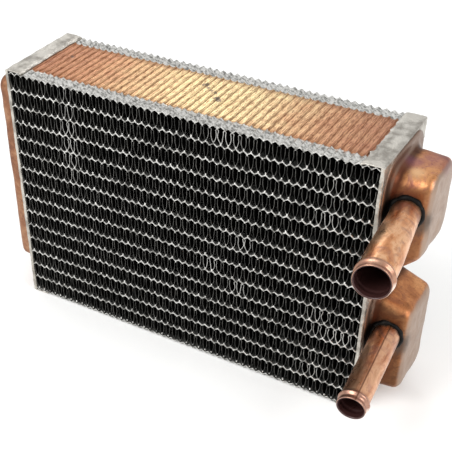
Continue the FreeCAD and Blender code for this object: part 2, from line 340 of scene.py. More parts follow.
def copper_material(name, stops, tint, tint_share, roughness, spots=(), bands=()):
    """Copper with a colour ramp and a heat tint over part of it.  spots are marks as
    (centre, reach, edge, colour, share), with ragged outlines.  bands are marks along
    an axis as (axis, start, full, colour, share), which grow from start to full."""
    material, tree = new_material(name)
    place = add_node(tree, "TexCoord").outputs["Object"]
    axes = add_node(tree, "SeparateXYZ", {"Vector": place}).outputs
    broad = add_node(tree, "TexNoise", {"Vector": place, "Scale": 1 / (18 * MM), "Detail": 5.0,
        "Roughness": 0.62, "Distortion": 0.5})
    patch = add_node(tree, "TexNoise", {"Vector": place, "Scale": 1 / (9 * MM), "Detail": 6.0,
        "Roughness": 0.68, "Distortion": 0.8})
    speck = add_node(tree, "TexNoise", {"Vector": place, "Scale": 1 / (1.3 * MM), "Detail": 3.0})
    base = add_node(tree, "ValToRGB", {"Fac": broad})
    set_ramp(base, stops)
    tinted = add_node(tree, "MapRange", {"Value": patch, "From Min": 0.50, "From Max": 0.64,
        "To Max": tint_share})
    freckle = add_node(tree, "MapRange", {"Value": speck, "From Min": 0.56, "From Max": 0.72,
        "To Max": 0.5})
    colour = lay_over(tree, base, [(tinted, tint), (freckle, "#6A4636")])
    for axis, start, full, mark, share in bands:
        wander = add_node(tree, "Math", {0: patch, 1: (full - start) * MM, 2: axes[axis]},
            operation="MULTIPLY_ADD")
        middle = (full - start) / 2
        grown = add_node(tree, "MapRange", {"Value": wander, "From Min": (start + middle) * MM,
            "From Max": (full + middle) * MM, "To Max": share}, interpolation_type="SMOOTHSTEP")
        colour = lay_over(tree, colour, [(grown, mark)])
    for centre, reach, edge, mark, share in spots:
        gap = add_node(tree, "VectorMath", {0: place, 1: tuple(np.array(centre) * MM)},
            operation="DISTANCE")
        ragged = add_node(tree, "Math", {0: patch, 1: -2 * reach * MM / 3, 2: gap},
            operation="MULTIPLY_ADD")
        inside = add_node(tree, "MapRange", {"Value": ragged,
            "From Min": (2 * reach / 3 - edge) * MM, "From Max": (2 * reach / 3 + edge) * MM,
            "To Min": share, "To Max": 0.0}, interpolation_type="SMOOTHSTEP")
        colour = lay_over(tree, colour, [(inside, mark)])
    rough = add_node(tree, "MapRange", {"Value": patch, "From Min": 0.3, "From Max": 0.7,
        "To Min": roughness - 0.08, "To Max": roughness + 0.14})
    close_material(tree, {"Base Color": colour, "Metallic": 1.0, "Roughness": rough}, speck, 0.5,
        0.10 * MM)
    return material


# %% [markdown]
# A drawn tube is the same copper, but its marks run along it.  Its UV map says how
# far along and how far round a point is, and the bore is counted from two instead
# of nought, so the bore can be darker.

# %% Material: drawn tube
PAINTED_HIGHLIGHT_SIDE = 0.555  # how far round a tube its painted highlight runs, as a share of a turn


def tube_material(name, stops, length, seam=None):
    """Copper tube with streaks along it, a burnt root, a painted highlight down one side,
    a darker bore and, if seam is given, a dark line at that fraction of the way
    round."""
    material, tree = new_material(name)
    place = add_node(tree, "TexCoord").outputs["Object"]
    chart = add_node(tree, "UVMap", uv_map=CHART)
    parts = add_node(tree, "SeparateXYZ", {"Vector": chart})
    along, around = parts.outputs["X"], parts.outputs["Y"]
    stretched = add_node(tree, "Mapping", {"Vector": place, "Scale": (1.0, 0.35, 1.0)})
    streak = add_node(tree, "TexNoise", {"Vector": stretched, "Scale": 1 / (7 * MM), "Detail": 6.0,
        "Roughness": 0.65, "Distortion": 0.5})
    smudge = add_node(tree, "TexNoise", {"Vector": place, "Scale": 1 / (8 * MM), "Detail": 5.0,
        "Distortion": 1.0})
    speck = add_node(tree, "TexNoise", {"Vector": place, "Scale": 1 / (1.2 * MM), "Detail": 3.0})
    base = add_node(tree, "ValToRGB", {"Fac": streak})
    set_ramp(base, stops)
    near_root = add_node(tree, "MapRange", {"Value": along, "From Min": 6 * MM, "From Max": 32 * MM,
        "To Min": 0.14, "To Max": 0.0})
    smudged = add_node(tree, "Math", {0: smudge, 1: near_root}, operation="ADD")
    stain = add_node(tree, "MapRange", {"Value": smudged, "From Min": 0.54, "From Max": 0.74,
        "To Max": 0.6})
    rolled = add_node(tree, "MapRange", {"Value": along, "From Min": (length - 8) * MM,
        "From Max": (length - 5.5) * MM, "To Max": 0.7})
    colour = lay_over(tree, base, [(stain, "#8E6562"), (rolled, "#93736A")])
    # the pale line down one side of the tube is a painted highlight
    lines = [(PAINTED_HIGHLIGHT_SIDE, 0.02, 0.065, 0.7, "#FBEEE2")]
    if seam is not None:
        lines.append((seam, 0.004, 0.011, 0.75, "#5A3524"))
    for side, full, gone, share, mark in lines:
        aside = add_node(tree, "Math", {0: around, 1: side}, operation="SUBTRACT")
        gap = add_node(tree, "Math", {0: aside}, operation="ABSOLUTE")
        line = add_node(tree, "MapRange", {"Value": gap, "From Min": full, "From Max": gone,
            "To Min": share, "To Max": 0.0})
        colour = lay_over(tree, colour, [(line, mark)])
    # inside the bore the colour is darker and less metallic
    bore = add_node(tree, "Math", {0: around, 1: 1.5}, operation="GREATER_THAN")
    colour = lay_over(tree, colour, [(bore, "#402624")])
    metal = add_node(tree, "Math", {0: bore, 1: -0.85, 2: 1.0}, operation="MULTIPLY_ADD")
    rough = add_node(tree, "MapRange", {"Value": smudge, "From Min": 0.3, "From Max": 0.7,
        "To Min": 0.24, "To Max": 0.44})
    close_material(tree, {"Base Color": colour, "Metallic": metal, "Roughness": rough}, speck, 0.4,
        0.08 * MM)
    return material


# %% Places of the tubes


def mount(name):
    """Place in millimetres and unit direction of one of the record's mounts."""
    found = [m for m in frame["record"]["mounts"] if m["name"] == name][0]
    direction = np.array(found["axis"])
    return np.array(found["pos_m"]) / MM, direction / np.linalg.norm(direction)


upper_mouth, upper_axis = mount("upper_hose_spigot")
lower_mouth, lower_axis = mount("lower_hose_spigot")
upper_length, lower_length = 65.7, 59.2
ROOT_RADIUS = 7.95  # both tubes at their tanks
HOSE_RADIUS = 9.525  # the upper tube where the hose goes on
upper_root = upper_mouth - upper_axis * upper_length
lower_root = lower_mouth - lower_axis * lower_length

# %% Make the copper materials
TANK_STOPS = [(0.28, "#8A5535"), (0.45, "#BC7F54"), (0.58, "#D69B6A"), (0.75, "#AC7146")]
RETURN_STOPS = [(0.28, "#6E4836"), (0.45, "#95684D"), (0.58, "#AA8163"), (0.75, "#8C6146")]
UPPER_TUBE_STOPS = [(0.3, "#A5663F"), (0.43, "#DA996A"), (0.55, "#F0BE94"), (0.68, "#C98A5C")]
LOWER_TUBE_STOPS = [(0.3, "#976149"), (0.43, "#C38A69"), (0.55, "#DAAA88"), (0.68, "#B37E5C")]
end_face = half_width + 21.2
# the dark band on the foot next to the header is painted shade in the concave foot, with some burn
# staining
foot_shade_and_burn = ("X", half_width + 8.0, half_width + 3.5, "#42251A", 0.9)
tinned_flange = ("X", half_width + 2.4, half_width + 1.2, "#8F7869", 0.7)
# the end face of the tank is coloured a greyer pink
grey_pink_end = ("X", end_face - 1.5, end_face + 0.3, "#9F8C7E", 0.9)
# the front walls are darkened with painted shade, darker still on the lower tank
painted_front_shade = ("Y", -14.5, -20.0, "#5E3626", 0.8)
darker_painted_front_shade = ("Y", -14.5, -20.0, "#472A1E", 0.85)
# into_corner places a near-black spot towards the header: mostly painted shade between tube and
# header, with some burnt flux
into_corner = np.array([-5.5, 0.0, -2.5])
over_end = np.array([8.0, 1.0, -5.0])
top_front = np.array([half_width + 10.5, -10.7, 153.0])
upper_tank_copper = copper_material("drawn_copper_upper", TANK_STOPS, "#9A6468", 0.7, 0.4,
    [(top_front + [-4.0, 8.0, 2.0], 5.0, 3.0, "#85536A", 0.55),
    (top_front + [6.0, 16.0, 3.0], 8.0, 4.0, "#8E5F6E", 0.4),
    # the pale spot centred on top_front is a painted highlight on the tank's rounded top edge
    (top_front + [-9.0, 2.0, 0.0], 5.0, 3.5, "#7E4A34", 0.6), (top_front, 3.5, 3.0, "#FFDDAE", 0.6),
    (upper_root + over_end, 7.0, 4.0, "#4E4640", 0.75),
    # near-black spot: mostly painted shade towards the header, with some burnt flux
    (upper_root + into_corner, 11.5, 3.5, "#1B1614", 0.97)],
    [foot_shade_and_burn, painted_front_shade, grey_pink_end, tinned_flange])
lower_tank_copper = copper_material("drawn_copper_lower", TANK_STOPS, "#9A6850", 0.6, 0.42,
    [(lower_root + over_end, 7.0, 4.0, "#4E4640", 0.75),
    # near-black spot: mostly painted shade towards the header, with some burnt flux
    (lower_root + into_corner, 11.5, 3.5, "#1B1614", 0.97)],
    [foot_shade_and_burn, darker_painted_front_shade, grey_pink_end, tinned_flange])
return_tank_copper = copper_material("drawn_copper_return", RETURN_STOPS, "#7E5442", 0.6, 0.42)
upper_tube_copper = tube_material("drawn_tube_upper", UPPER_TUBE_STOPS, upper_length)
lower_tube_copper = tube_material("drawn_tube_lower", LOWER_TUBE_STOPS, lower_length, seam=0.289)
print("copper materials made")

# %% [markdown]
# ## The corrugated ribbons
#
# A waterway is two brass ribbons, corrugated and soldered together along their front
# and back edges.  Seen from the front it is a silver zigzag line with a rounded,
# slightly lumpy edge.  It could be an array of bent planes, but one grid is simpler:
# along the ribbon run the zigzag's stations, and round it runs its flat section
# with a bead at each edge.

# %% The zigzag and the ribbon's section


def zigzag(x):
    """Height of the corrugation at x, from -1 in a trough to 1 on a peak: a triangle
    wave with its corners rounded, as a folded strip has."""
    phase = (x - ribbon_left) / tooth_pitch * 2 * np.pi - np.pi / 2
    return np.arcsin(0.985 * np.sin(phase)) / math.asin(0.985)


def bead_section(bead_radius, sheet_half, flat_count=5, bead_count=7):
    """The closed outline of a ribbon's section as (depth, height): a half circle at
    the front edge, the flat underside, a half circle at the back and the flat top."""
    turn = np.linspace(0.5 * np.pi, 1.5 * np.pi, bead_count)
    front_y = -half_depth + bead_radius + bead_radius * np.cos(turn)
    front_h = bead_radius * np.sin(turn)
    flat = np.linspace(-1, 1, flat_count) * (half_depth - 3 * bead_radius)
    y = np.concatenate([front_y, flat, -front_y[::-1], -flat])
    low = np.full(flat_count, -sheet_half)
    h = np.concatenate([front_h, low, front_h[::-1], -low])
    return y, h


def ribbon_points(height, seed, bead_radius=0.5, sheet_half=0.33):
    """Grid of a corrugated ribbon.  The zigzag wanders a little, and the edge bead
    is fatter on the peaks, where the solder gathered."""
    x = ribbon_left + np.linspace(0, ribbon_length, teeth * 8 + 1)
    y, h = bead_section(bead_radius, sheet_half)
    line = np.stack([x, np.full_like(x, seed * 50.0), np.full_like(x, height)], axis=1)
    wander = 0.16 * ripple(line, 25.0, seed) + 0.10 * ripple(line, 5.0, seed + 100)
    fat = 1 + 0.12 * zigzag(x) + 0.16 * ripple(line, 3.0, seed + 200)
    points = np.empty((len(x), len(y), 3))
    points[..., 0] = x[:, None]
    points[..., 1] = y[None, :] * (1 + 0.003 * ripple(line, 7.0, seed + 300))[:, None]
    points[..., 2] = height + (zigzag(x) * wave_height / 2 + wander)[:, None] + h[None, :] * fat[:,
        None]
    return points


# %% Make the fourteen waterways
for row in range(1, fin_rows):
    grid = ribbon_points(ribbon_heights[row], row)
    ribbon = make_piece(f"ribbon_{row:02d}", grid, hose_faces(*grid.shape[:2]), ribbon_solder)
    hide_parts(f"waterway_{row:02d}")
print("waterways made, points each:", grid.shape[0] * grid.shape[1])

# %% [markdown]
# ## The folded air fins
#
# Each fin is one strip of foil folded up and down like a fan between two waterways.
# Low folds sit on the peaks of the ribbon below, high folds meet the troughs of the
# ribbon above, and the walls between bow outwards.  One fold is a template of points,
# and numpy lays it out for all the teeth at once with a little difference in each.
# In a few patches the foil was pushed about: those folds bulge more.

# %% Where the foil was disturbed
BULGED_PATCHES = [  # middle x, middle height, half width, half height, in millimetres
    (-75, 128, 7, 36), (30, 158, 12, 6), (95, 142, 14, 6), (92, 127, 8, 5), (43, 93, 7, 5),
    (21, 70, 7, 5), (40, 60, 7, 5), (93, 56, 13, 9), (108, 49, 8, 5), (90, 22, 11, 8),
]


def disturbance(x, height):
    """How much the foil is disturbed at a place on the face, 0 to about 1: a soft
    hump over each patch."""
    total = np.zeros_like(x)
    for middle_x, middle_z, half_x, half_z in BULGED_PATCHES:
        total += np.exp(-((x - middle_x) / half_x) ** 2 - ((height - middle_z) / half_z) ** 2)
    return np.clip(total, 0, 1)


# %% The line of one fin


def fin_line(low, high, seed):
    """Points (x, z) of the folded foil, left to right.  For each tooth the line comes
    down the left wall, round the low fold and up the right wall.  A wall's distance
    from the tooth's middle grows from the low fold's radius to half the pitch less
    the high fold's radius, quickly at first, and swells by its bulge."""
    random = np.random.default_rng(seed)
    count = teeth
    middle = ribbon_left + (np.arange(count) + 0.5) * tooth_pitch
    mess = disturbance(middle, np.full(count, (low + high) / 2))
    low_radius = 0.42 + 0.08 * random.normal(size=count)
    high_radius = 0.92 + 0.09 * random.normal(size=count + 1)
    share = np.linspace(0, 1, 9)
    walls = []
    for side in (-1, 1):
        top = tooth_pitch / 2 - high_radius[(0 if side < 0 else 1):][:count]
        reach = low_radius[:, None] + (top - low_radius)[:, None] * (1 - (1 - share) ** 2.6)
        bulge = 0.12 + 0.10 * random.normal(size=count) + mess * random.uniform(0.1, 0.55,
            size=count)
        lean = mess * random.normal(size=count) * 0.25
        x = middle[:, None] + side * (reach + bulge[:, None] * np.sin(np.pi * share))
        x = x + lean[:, None] * np.sin(np.pi * share) ** 2
        z_low = low + low_radius[:, None]
        z_high = high - high_radius[(0 if side < 0 else 1):][:count, None]
        walls.append((x, z_low + (z_high - z_low) * share))
    bend = np.linspace(0, np.pi, 7)[1:-1]
    low_x = middle[:, None] - low_radius[:, None] * np.cos(bend)
    low_z = low + low_radius[:, None] * (1 - np.sin(bend))
    trough = middle + tooth_pitch / 2
    top_radius = high_radius[1:, None]
    top_x = trough[:, None] - top_radius * np.cos(bend)
    top_z = high - top_radius * (1 - np.sin(bend))
    x = np.concatenate([walls[0][0][:, ::-1], low_x, walls[1][0], top_x], axis=1).ravel()
    z = np.concatenate([walls[0][1][:, ::-1], low_z, walls[1][1], top_z], axis=1).ravel()
    keep = len(x) - len(bend)
    return x[:keep], z[:keep]


def fin_points(low, high, seed, thickness=0.15):
    """Grid of a fin: the section goes round the foil, along its left side from front
    to back and along its right side from back to front.  Its UV map holds how much the
    foil is disturbed."""
    x, z = fin_line(low, high, seed)
    tangent = np.stack([np.gradient(x), np.gradient(z)], axis=1)
    tangent /= np.linalg.norm(tangent, axis=1, keepdims=True)
    normal = np.stack([-tangent[:, 1], tangent[:, 0]], axis=1)
    mess = disturbance(x, np.full_like(x, (low + high) / 2))
    half = thickness / 2 * (1 + 1.2 * mess)
    reach = half_depth - 0.28 + 0.08 * np.sin(x * 1.7 + seed)
    depth = np.array([-1.0, -0.97, 0.0, 0.97, 1.0])
    y = np.concatenate([depth, depth[::-1]])
    side = np.repeat([1.0, -1.0], len(depth))
    points = np.empty((len(x), len(y), 3))
    points[..., 0] = x[:, None] + normal[:, :1] * side * half[:, None]
    points[..., 1] = y * reach[:, None]
    points[..., 2] = z[:, None] + normal[:, 1:] * side * half[:, None]
    return points, np.stack(np.broadcast_arrays(mess[:, None], 0 * y), axis=-1)


# %% Make the fifteen fins
SEAT = 0.42  # from a ribbon's middle to the fold that sits on it
for row in range(1, fin_rows + 1):
    low = ribbon_heights[row - 1] + wave_height / 2 + SEAT
    high = ribbon_heights[row] - wave_height / 2 - SEAT
    grid, spread = fin_points(low, high, row)
    fin = make_piece(f"fin_{row:02d}", grid, hose_faces(*grid.shape[:2]), fin_copper, uv=spread)
    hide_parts(f"air_fin_{row:02d}")
print("fins made, points each:", grid.shape[0] * grid.shape[1])

# %% [markdown]
# ## Beads of solder
#
# Where a fold meets a ribbon, the dip left a bead of solder, brightest on top of each
# peak.  There are over a thousand, so each is a small lump of a few dozen faces, and
# all of one face of the core are one mesh.

# %% Solder beads on the front and back


def bead_cloud(places, sizes):
    """Many small ellipsoids at once.  Each is a grid of rings closed round, with its
    poles drawn nearly to a point and capped."""
    polar = np.linspace(0.12 * np.pi, 0.88 * np.pi, 5)
    around = np.linspace(0, 2 * np.pi, 7)[:-1]
    unit = np.stack([np.sin(polar)[:, None] * np.cos(around),
        np.sin(polar)[:, None] * np.sin(around), np.repeat(np.cos(polar)[:, None], len(around),
        axis=1)], axis=-1)
    points = places[:, None, None, :] + unit[None] * sizes[:, None, None, :]
    one = hose_faces(len(polar), len(around))
    per_bead = len(polar) * len(around)
    quads = np.array([face for face in one if len(face) == 4])
    caps = np.array([face for face in one if len(face) != 4])
    starts = np.arange(len(places)) * per_bead
    faces = (quads[None] + starts[:, None, None]).reshape(-1, 4).tolist()
    faces += (caps[None] + starts[:, None, None]).reshape(-1, len(around)).tolist()
    return points.reshape(-1, 3), faces


for name, side in (("front", -1), ("back", 1)):
    random = np.random.default_rng(7 + side)
    peaks = ribbon_left + (np.arange(teeth) + 0.5) * tooth_pitch
    troughs = ribbon_left + np.arange(1, teeth) * tooth_pitch
    places, sizes = [], []
    for row in range(fin_rows):
        above = np.stack([peaks, np.full_like(peaks, side * (half_depth - 0.35)),
            np.full_like(peaks, ribbon_heights[row] + wave_height / 2 + 0.62)], axis=1)
        scale = np.clip(random.normal(1.0, 0.28, size=(teeth, 1)), 0.45, 1.7)
        places.append(above + random.normal(0, 0.09, size=above.shape))
        sizes.append(np.array([[0.38, 0.36, 0.62]]) * scale)
        below = np.stack([troughs, np.full_like(troughs, side * (half_depth - 0.4)),
            np.full_like(troughs, ribbon_heights[row + 1] - wave_height / 2 - 0.5)], axis=1)
        scale = np.clip(random.normal(0.75, 0.25, size=(teeth - 1, 1)), 0.3, 1.2)
        places.append(below + random.normal(0, 0.06, size=below.shape))
        sizes.append(np.array([[0.42, 0.3, 0.3]]) * scale)
    points, faces = bead_cloud(np.concatenate(places), np.concatenate(sizes))
    beads = make_piece(f"solder_beads_{name}", points, faces, dot_solder)
    print(f"{name} beads:", len(faces))

# %% [markdown]
# ## The side strips
#
# The top and the underside are closed by one corrugated copper strip each.  Its front
# and back borders were dipped with the core, so they carry solder and keep the deep
# zigzag.  Between them the copper is bare and its ribs are low and narrow.

# %% Material: bare copper with a dipped border
BORDER = half_depth - 9.0  # from the middle plane to where the dipped border begins
STRIP_SMUDGES = [(-5, 10), (-2, 7.5), (1.5, 5), (4.5, 3.5), (9, -2), (10.5, -3.5), (-96, 5)]
STRIP_HALF = 0.35  # half the strip's thickness with its coat


def strip_material():
    """Copper that runs from reddish ends to a golden middle, partly a painted highlight,
    browner near its dipped borders, which are solder.  Rib crests are left bright as
    painted highlights, with painted shade beside them."""
    material, tree = new_material("corrugated_copper_strip")
    place = add_node(tree, "TexCoord").outputs["Object"]
    parts = add_node(tree, "SeparateXYZ", {"Vector": place})
    across = add_node(tree, "Math", {0: parts.outputs["Y"]}, operation="ABSOLUTE")
    streak_place = add_node(tree, "Mapping", {"Vector": place, "Scale": (1.0, 0.12, 1.0)})
    streak = add_node(tree, "TexNoise", {"Vector": streak_place, "Scale": 1 / (1.2 * MM),
        "Detail": 3.0})
    patch = add_node(tree, "TexNoise", {"Vector": place, "Scale": 1 / (9 * MM), "Detail": 4.0,
        "Distortion": 0.8})
    speck = add_node(tree, "TexNoise", {"Vector": place, "Scale": 1 / (1.8 * MM), "Detail": 3.0})
    shifted = add_node(tree, "Math", {0: patch, 1: 60 * MM, 2: parts.outputs["X"]},
        operation="MULTIPLY_ADD")
    share = add_node(tree, "MapRange", {"Value": shifted, "From Min": -90 * MM,
        "From Max": 150 * MM})
    # the ramp's bright golden middle is partly a painted highlight over the copper's own colour
    metal = add_node(tree, "ValToRGB", {"Fac": share})
    set_ramp(metal, [(0.0, "#C0896F"), (0.2, "#D7A37D"), (0.42, "#FDE0AC"), (0.6, "#FFE8B4"),
        (0.8, "#DDAD85"), (1.0, "#BF866C")])
    tooth = add_node(tree, "Math", {0: parts.outputs["X"], 1: -ribbon_left * MM}, operation="ADD")
    counted = add_node(tree, "Math", {0: tooth, 1: tooth_pitch * MM}, operation="DIVIDE")
    phase = add_node(tree, "Math", {0: counted}, operation="FRACT")
    distance = add_node(tree, "Math", {0: phase, 1: 0.5}, operation="SUBTRACT")
    away = add_node(tree, "Math", {0: distance}, operation="ABSOLUTE")
    rough_away = add_node(tree, "Math", {0: streak, 1: 0.3, 2: away}, operation="MULTIPLY_ADD")
    # dark brown beside each rib crest is painted shade, and the crest left bright is a painted
    # highlight
    rib_light_and_shade = add_node(tree, "ValToRGB", {"Fac": rough_away})
    set_ramp(rib_light_and_shade, [(0.2, "#000000"), (0.28, "#D8D8D8"), (0.36, "#A0A0A0"), (0.48, "#3A3A3A"),
        (0.64, "#787878")])
    scratch = add_node(tree, "TexNoise", {"Vector": streak_place, "Scale": 1 / (0.45 * MM),
        "Detail": 2.0})
    scored = add_node(tree, "MapRange", {"Value": scratch, "From Min": 0.5, "From Max": 0.62,
        "To Max": 0.65})
    shaded_and_streaked = lay_over(tree, metal, [(rib_light_and_shade, "#7C4A30"), (scored, "#74452A")])
    for smudge_x, smudge_y in STRIP_SMUDGES:
        gap = add_node(tree, "VectorMath", {0: place, 1: (smudge_x * MM, smudge_y * MM,
            top_strip_height * MM)}, operation="DISTANCE")
        ragged = add_node(tree, "Math", {0: patch, 1: -5 * MM, 2: gap}, operation="MULTIPLY_ADD")
        spot = add_node(tree, "MapRange", {"Value": ragged, "From Min": -1.4 * MM,
            "From Max": -0.4 * MM, "To Min": 0.8, "To Max": 0.0})
        shaded_and_streaked = lay_over(tree, shaded_and_streaked, [(spot, "#6B5F57")])
    near = add_node(tree, "MapRange", {"Value": across, "From Min": (BORDER - 5) * MM,
        "From Max": BORDER * MM, "To Max": 0.6})
    wander = add_node(tree, "Math", {0: speck, 1: 1.6 * MM, 2: across}, operation="MULTIPLY_ADD")
    dipped = add_node(tree, "MapRange", {"Value": wander, "From Min": (BORDER + 0.6) * MM,
        "From Max": (BORDER + 1.1) * MM})
    grey = add_node(tree, "ValToRGB", {"Fac": speck})
    set_ramp(grey, [(0.36, "#84837F"), (0.5, "#C9C8C4"), (0.62, "#E2E1DD")])
    colour = lay_over(tree, shaded_and_streaked, [(near, "#8A5A3A"), (dipped, grey)])
    rough = add_node(tree, "MapRange", {"Value": patch, "To Min": 0.3, "To Max": 0.52})
    close_material(tree, {"Base Color": colour, "Metallic": 1.0, "Roughness": rough}, speck, 0.5,
        0.25 * MM)
    return material


strip_copper = strip_material()

# %% The strip's surface


def strip_points(height, outward):
    """Grid of a side strip.  outward is 1 for the top and -1 for the underside.  The
    border follows the zigzag; the bare middle has narrow ribs, each a smooth bump
    over the zigzag's peak."""
    x = ribbon_left + np.linspace(0, ribbon_length, teeth * 12 + 1)
    edge = np.array([0.0, 0.06, 0.16, 0.3, 0.5]) * 2
    inner = np.linspace(-(BORDER - 0.5), BORDER - 0.5, 11)
    step = np.array([-BORDER - 0.6, -BORDER - 0.2, -BORDER + 0.2])
    outer = np.concatenate([-half_depth + edge, np.linspace(-half_depth + 2.5, -BORDER - 1.2, 4),
        step])
    y = np.concatenate([outer, inner, -outer[::-1]])
    border = np.clip((np.abs(y) - (BORDER - 0.4)) / 0.9, 0, 1)
    border = border * border * (3 - 2 * border)
    wave = zigzag(x) * wave_height / 2
    distance = np.abs((((x - ribbon_left) / tooth_pitch) % 1.0) - 0.5) * tooth_pitch
    rib = 0.05 + 0.95 * np.exp(-(distance / 0.42) ** 2)
    place = np.stack(np.broadcast_arrays(x[:, None], y[None, :], np.full((1, 1), height)), axis=-1)
    top = border * wave[:, None] + (1 - border) * rib[:, None] + 0.06 * ripple(place, 6.0, 31)
    inward = np.clip((half_depth - np.abs(y)) / STRIP_HALF, 0, 1)
    round_edge = STRIP_HALF * (1 - np.sqrt(np.clip(1 - (1 - inward) ** 2, 0, 1)))
    skins = []
    for skin in (STRIP_HALF - round_edge, round_edge - STRIP_HALF):
        level = height + outward * (top + skin)
        skins.append(np.stack(np.broadcast_arrays(x[:, None], y[None, :], level), axis=-1))
    upper, lower = skins
    return np.concatenate([upper, lower[:, ::-1]], axis=1)


for name, node, height, outward in (("top_strip", "top_side_strip", top_strip_height, 1),
        ("bottom_strip", "bottom_side_strip", bottom_strip_height, -1)):
    grid = strip_points(height, outward)
    strip = make_piece(name, grid, hose_faces(*grid.shape[:2]), strip_copper)
    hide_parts(node)
print("side strips made, points each:", grid.shape[0] * grid.shape[1])

# %% [markdown]
# ## The header pans
#
# At each end a thick brass wall closes the core, with a flange folded over the top
# and the underside.  All of it was wiped with solder, so its edges are soft and its
# faces uneven.  The pan is one grid: a U-shaped path seen from the front, with a
# rounded flat section that reaches from the front face to the back.

# %% The pan's surface
header_thickness = half_width - ribbon_high[0]
FLANGE_THICKNESS = 0.6
FLANGE_LENGTH = 12.0


def u_path(reach, low, high, corner, flange_end, count):
    """Points (x, z) of a U on its side: along the top flange, round a corner, down
    the wall, round a corner and back along the bottom flange."""
    turn = np.linspace(0, np.pi / 2, 7)
    flange_x = np.linspace(flange_end, reach - corner, 16)[:-1]
    wall_z = np.linspace(high - corner, low + corner, count)[1:-1]
    top = np.stack([flange_x, np.full_like(flange_x, high)], axis=1)
    first = np.stack([reach - corner + corner * np.sin(turn),
        high - corner + corner * np.cos(turn)], axis=1)
    wall = np.stack([np.full_like(wall_z, reach), wall_z], axis=1)
    second = np.stack([first[::-1, 0], low + high - first[::-1, 1]], axis=1)
    bottom = np.stack([flange_x[::-1], np.full_like(flange_x, low)], axis=1)
    return np.concatenate([top, first, wall, second, bottom])


def pan_points(side, seed):
    """Grid of a header pan: at each station of the path a loop runs round from the
    outer skin to the inner skin, with rounded front and back edges.  The flanges
    droop at their ends, where solder drew them down on the strip, and their ends are
    uneven.  The inner skin droops more, which is the solder that fills the ribs."""
    flange_end = half_width - FLANGE_LENGTH
    outer = u_path(half_width, 0.0, core_height, 0.9, flange_end, 150)
    inner = u_path(half_width - header_thickness, FLANGE_THICKNESS, core_height - FLANGE_THICKNESS,
        0.15, flange_end, 150)
    across = np.linspace(-1, 1, 9)
    share = 0.5 + 0.5 * np.sign(across) * np.abs(across) ** 0.8
    pull = 0.55 * (1 - (1 - np.abs(across) ** 3) ** (1 / 3))
    flat = np.linspace(-1, 1, 40)[1:-1] * (half_depth - 0.6)
    y = np.concatenate([(-half_depth + pull)[::-1], flat, half_depth - pull, flat[::-1]])
    a = np.concatenate([share[::-1], np.zeros_like(flat), share, np.ones_like(flat)])
    points = np.empty((len(outer), len(y), 3))
    for axis, column in ((0, 0), (2, 1)):
        points[..., axis] = outer[:, column, None] * (1 - a) + inner[:, column, None] * a
    points[..., 1] = y
    droop = np.clip((flange_end + 2.2 - points[..., 0]) / 2.2, 0, 1) ** 2
    points[..., 2] -= (0.5 + 0.8 * a) * droop * np.sign(points[..., 2] - core_height / 2)
    points[..., 0] += 0.5 * droop * ripple(points, 4.0, seed + 2)
    lumps = 0.11 * ripple(points, 9.0, seed) + 0.09 * ripple(points, 2.5, seed + 1)
    points += grid_normals(points) * lumps[..., None]
    points[..., 0] *= side
    return points


for name, side in (("left", -1), ("right", 1)):
    grid = pan_points(side, 51 + side)
    pan = make_piece(f"{name}_pan", grid, hose_faces(*grid.shape[:2]), header_solder, sharp=50.0)
    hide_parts(f"{name}_header")
print("header pans made, points each:", grid.shape[0] * grid.shape[1])

# %% [markdown]
# ## The tanks
#
# Each tank was drawn from one sheet of copper: a foot that flares out where it is
# soldered to the header, walls that lean in, a rounded edge and a slightly crowned
# end.  That is a rounded rectangle whose size changes along the way out, so the tank
# is one grid of such loops, first along the outside and then back along the inside.

# %% Loops of a rounded rectangle
FOOT_RIM = 0.7  # thickness of the foot's flat rim
FLARE_LEFT = 0.55  # share of the flare that is left where the foot turns up


def quarter_loop(half_y, half_z, radius, side_count=9, arc_count=9):
    """A quarter of each loop, from the middle of its side to the middle of its top:
    half a side, an arc and half a top."""
    radius = np.minimum(radius, 0.98 * np.minimum(half_y, half_z))
    t = np.linspace(0, 1, side_count + 1)[:-1]
    turn = np.linspace(0, np.pi / 2, arc_count)
    straight_y, straight_z = half_y - radius, half_z - radius
    y = np.concatenate([np.repeat(half_y[:, None], side_count, axis=1),
        straight_y[:, None] + radius[:, None] * np.cos(turn), straight_y[:, None] * (1 - t[1:]),
        0 * half_y[:, None]], axis=1)
    z = np.concatenate([straight_z[:, None] * t, straight_z[:, None] + radius[:, None]
        * np.sin(turn), np.repeat(half_z[:, None], side_count, axis=1)], axis=1)
    return y, z


def rounded_loops(half_y, low_z, high_z, low_radius, high_radius):
    """One closed loop for each entry of the arrays, put together from quarters and
    their mirror images."""
    half_z = (high_z - low_z) / 2
    middle = (high_z + low_z) / 2
    y_up, z_up = quarter_loop(half_y, half_z, high_radius)
    y_down, z_down = quarter_loop(half_y, half_z, low_radius)
    y = np.concatenate([y_up[:, :-1], -y_up[:, :0:-1], -y_down[:, :-1], y_down[:, :0:-1]], axis=1)
    z = np.concatenate([z_up[:, :-1], z_up[:, :0:-1], -z_down[:, :-1], -z_down[:, :0:-1]], axis=1)
    return y, middle[:, None] + z


